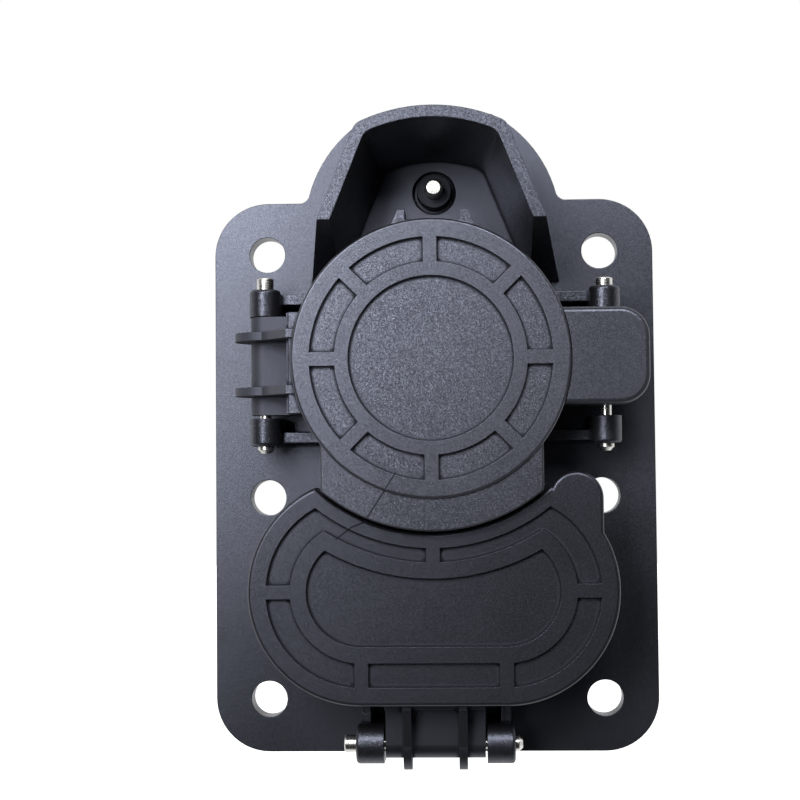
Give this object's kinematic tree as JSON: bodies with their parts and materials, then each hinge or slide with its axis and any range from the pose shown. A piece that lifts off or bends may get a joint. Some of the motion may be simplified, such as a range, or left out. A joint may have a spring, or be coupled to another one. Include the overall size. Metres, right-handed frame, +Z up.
{
  "type": "charge port inlet",
  "caption": "Black plastic vehicle charging inlet with a flange plate, a latch hood with a lock pin, a round sprung-latch lid over the AC socket and a bean-shaped lid over the DC socket.",
  "frame": {"origin": "centre of the four corner bolt holes, on the back face of the flange plate", "axes": "+X to the viewer's right, +Z up, and the front with the lids faces -Y; cables leave along +Y"},
  "size_m": [0.0988, 0.101, 0.1451],
  "materials": {
    "housing_plastic": "satin moulded black nylon",
    "lid_plastic": "fine moulded grain, black nylon",
    "seal_rubber": "matt black rubber",
    "pin_steel": "bright turned steel",
    "spring_steel": "drawn spring wire",
    "lock_steel": "bright ground steel",
    "sleeve_plastic": "satin black",
    "actuator_plastic": "satin black",
    "connector_plastic": "satin dark grey",
    "screw_steel": "zinc-plated",
    "carrier_plastic": "satin black",
    "contact_silver": "silver-plated",
    "guard_plastic": "white insulating plastic",
    "gland_plastic": "satin black"
  },
  "bodies": {
    "housing": {"front_housing": "housing_plastic", "ac_hinge_pin": "pin_steel", "latch_pin": "pin_steel", "latch_spring": "spring_steel", "dc_hinge_pin": "pin_steel", "lock_pin_sleeve": "sleeve_plastic", "actuator_case": "actuator_plastic", "actuator_cover": "actuator_plastic", "actuator_connector": "connector_plastic", "actuator_cover_screws": "screw_steel", "actuator_screws": "screw_steel", "ac_contact_carrier": "carrier_plastic", "ac_contact_insert": "carrier_plastic", "line_contact_1": "contact_silver", "line_contact_2": "contact_silver", "earth_contact": "contact_silver", "pilot_contact": "contact_silver", "proximity_contact": "contact_silver", "dc_contact_carrier": "carrier_plastic", "dc_contact_positive": "contact_silver", "dc_contact_negative": "contact_silver", "touch_guard_positive": "guard_plastic", "touch_guard_negative": "guard_plastic", "rear_gasket": "seal_rubber", "rear_housing": "housing_plastic", "rear_screws": "screw_steel", "ac_gland_insert": "seal_rubber", "ac_gland_nut": "gland_plastic", "dc_gland_insert_positive": "seal_rubber", "dc_gland_insert_negative": "seal_rubber", "dc_gland_nut_positive": "gland_plastic", "dc_gland_nut_negative": "gland_plastic"},
    "ac_lid": {"ac_lid": "lid_plastic", "ac_lid_seal": "seal_rubber"},
    "dc_lid": {"dc_lid": "lid_plastic", "dc_lid_seal": "seal_rubber"},
    "latch": {"latch_lever": "lid_plastic"},
    "lock_pin": {"lock_pin": "lock_steel"}
  },
  "joints": [
    {"name": "ac_lid_hinge", "type": "hinge", "parent": "housing", "child": "ac_lid", "pos_m": [-0.0365, -0.019, 0.0234], "axis": [0, 0, -1], "range_deg": [0, 110]},
    {"name": "dc_lid_hinge", "type": "hinge", "parent": "housing", "child": "dc_lid", "pos_m": [0, -0.019, -0.058], "axis": [1, 0, 0], "range_deg": [0, 110]},
    {"name": "latch_pivot", "type": "hinge", "parent": "housing", "child": "latch", "pos_m": [0.0375, -0.019, 0.0234], "axis": [0, 0, 1], "range_deg": [0, 10], "stiffness_Nm_per_rad": 0.05, "springref_deg": -20.05, "deforming": ["latch_spring"]},
    {"name": "lock_slide", "type": "slide", "parent": "housing", "child": "lock_pin", "axis": [0, 1, 0], "range_m": [0, 0.006]}
  ]
}
